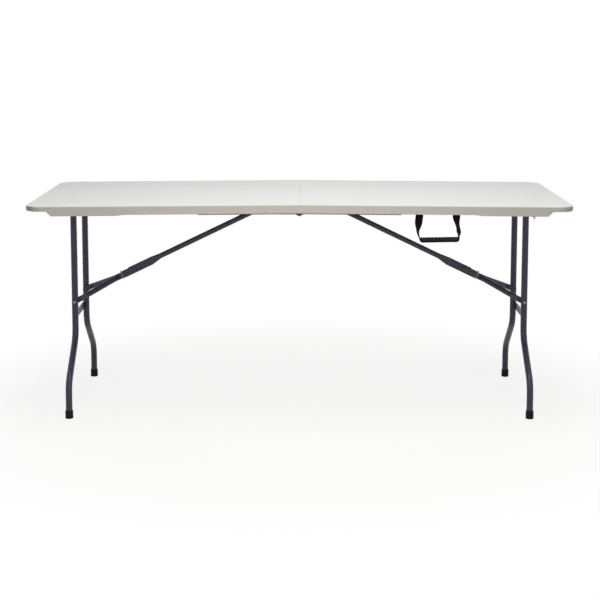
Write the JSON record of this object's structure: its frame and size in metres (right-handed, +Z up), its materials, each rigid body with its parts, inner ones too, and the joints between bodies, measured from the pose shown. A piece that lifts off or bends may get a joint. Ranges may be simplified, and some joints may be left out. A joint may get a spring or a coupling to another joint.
{
  "type": "folding table",
  "caption": "Rectangular table that folds in half at a centre hinge, with moulded plastic tops, bent steel leg frames that stow under the tops, folding braces and a carrying handle.",
  "frame": {"origin": "on the floor, under the middle of the table", "axes": "+X along the table's length towards the half with the handle, -Y towards the front where the handle hangs, +Z up"},
  "size_m": [1.8004, 0.74, 0.738],
  "materials": {
    "top_plastic": "off-white polyethylene with a fine moulded grain",
    "painted_steel": "dark grey powder coat",
    "zinc_steel": "bright zinc plating",
    "black_plastic": "black moulded plastic",
    "webbing": "black woven webbing"
  },
  "bodies": {
    "left_half": {"hinge_pins": "zinc_steel", "latch_keeper": "zinc_steel", "left_back_hinge_leaf": "painted_steel", "left_back_rail": "painted_steel", "left_cross_tube": "painted_steel", "left_front_hinge_leaf": "painted_steel", "left_front_rail": "painted_steel", "left_hinge_rivets": "zinc_steel", "left_panel": "top_plastic", "left_rail_screws": "zinc_steel"},
    "right_half": {"handle_plates": "zinc_steel", "handle_screws": "zinc_steel", "handle_tabs": "webbing", "latch_screw": "zinc_steel", "right_back_hinge_leaf": "painted_steel", "right_back_rail": "painted_steel", "right_cross_tube": "painted_steel", "right_front_hinge_leaf": "painted_steel", "right_front_rail": "painted_steel", "right_hinge_rivets": "zinc_steel", "right_panel": "top_plastic", "right_rail_screws": "zinc_steel"},
    "left_legs": {"left_back_foot": "black_plastic", "left_back_leg": "painted_steel", "left_front_foot": "black_plastic", "left_front_leg": "painted_steel", "left_leg_bar": "painted_steel", "left_leg_rivets": "painted_steel", "left_pivot_plugs": "zinc_steel", "left_pivot_tube": "painted_steel"},
    "right_legs": {"right_back_foot": "black_plastic", "right_back_leg": "painted_steel", "right_front_foot": "black_plastic", "right_front_leg": "painted_steel", "right_leg_bar": "painted_steel", "right_leg_rivets": "painted_steel", "right_pivot_plugs": "zinc_steel", "right_pivot_tube": "painted_steel"},
    "left_brace": {"left_brace": "painted_steel"},
    "right_brace": {"right_brace": "painted_steel"},
    "left_arms": {"left_arm_studs": "painted_steel", "left_back_arm": "painted_steel", "left_elbow_rivet": "painted_steel", "left_front_arm": "painted_steel"},
    "right_arms": {"right_arm_studs": "painted_steel", "right_back_arm": "painted_steel", "right_elbow_rivet": "painted_steel", "right_front_arm": "painted_steel"},
    "left_clip": {"left_lock_clip": "zinc_steel"},
    "right_clip": {"right_lock_clip": "zinc_steel"},
    "handle": {"handle_grip": "black_plastic", "handle_strap_inner": "webbing", "handle_strap_outer": "webbing"},
    "latch": {"latch_hook": "zinc_steel"}
  },
  "joints": [
    {"name": "table_fold", "type": "hinge", "parent": "left_half", "child": "right_half", "pos_m": [0, 0, 0.703], "axis": [0, 1, 0], "range_deg": [0, 90]},
    {"name": "left_leg_fold", "type": "hinge", "parent": "left_half", "child": "left_legs", "pos_m": [-0.77709, 0, 0.71022], "axis": [0, -1, 0], "range_deg": [0, 90.5]},
    {"name": "left_brace_turn", "type": "hinge", "parent": "left_half", "child": "left_brace", "pos_m": [-0.05013, 0, 0.71806], "axis": [0, -1, 0], "range_deg": [-25.1, 0]},
    {"name": "left_elbow", "type": "hinge", "parent": "left_brace", "child": "left_arms", "pos_m": [-0.58653, 0, 0.45919], "axis": [0, -1, 0], "range_deg": [0, 180.1]},
    {"name": "left_clip_slide", "type": "slide", "parent": "left_arms", "child": "left_clip", "axis": [-0.9006, 0, -0.4346], "range_m": [0, 0.008]},
    {"name": "right_leg_fold", "type": "hinge", "parent": "right_half", "child": "right_legs", "pos_m": [0.77709, 0, 0.71022], "axis": [0, 1, 0], "range_deg": [0, 90.5]},
    {"name": "right_brace_turn", "type": "hinge", "parent": "right_half", "child": "right_brace", "pos_m": [0.05013, 0, 0.71806], "axis": [0, 1, 0], "range_deg": [-25.1, 0]},
    {"name": "right_elbow", "type": "hinge", "parent": "right_brace", "child": "right_arms", "pos_m": [0.58653, 0, 0.45919], "axis": [0, 1, 0], "range_deg": [0, 180.1]},
    {"name": "right_clip_slide", "type": "slide", "parent": "right_arms", "child": "right_clip", "axis": [0.9006, 0, -0.4346], "range_m": [0, 0.008]},
    {"name": "handle_swing", "type": "hinge", "parent": "right_half", "child": "handle", "pos_m": [0.461, -0.3548, 0.70138], "axis": [1, 0, -0.0087], "range_deg": [-80, 80]},
    {"name": "latch_turn", "type": "hinge", "parent": "right_half", "child": "latch", "pos_m": [0.76508, -0.3595, 0.70882], "axis": [0, 1, 0], "range_deg": [-40, 40]}
  ],
  "couplings": [
    {"joint": "left_brace_turn", "follows": "left_leg_fold", "ratio": -0.27667},
    {"joint": "left_elbow", "follows": "left_leg_fold", "ratio": 1.9889},
    {"joint": "right_brace_turn", "follows": "right_leg_fold", "ratio": -0.27667},
    {"joint": "right_elbow", "follows": "right_leg_fold", "ratio": 1.9889}
  ]
}
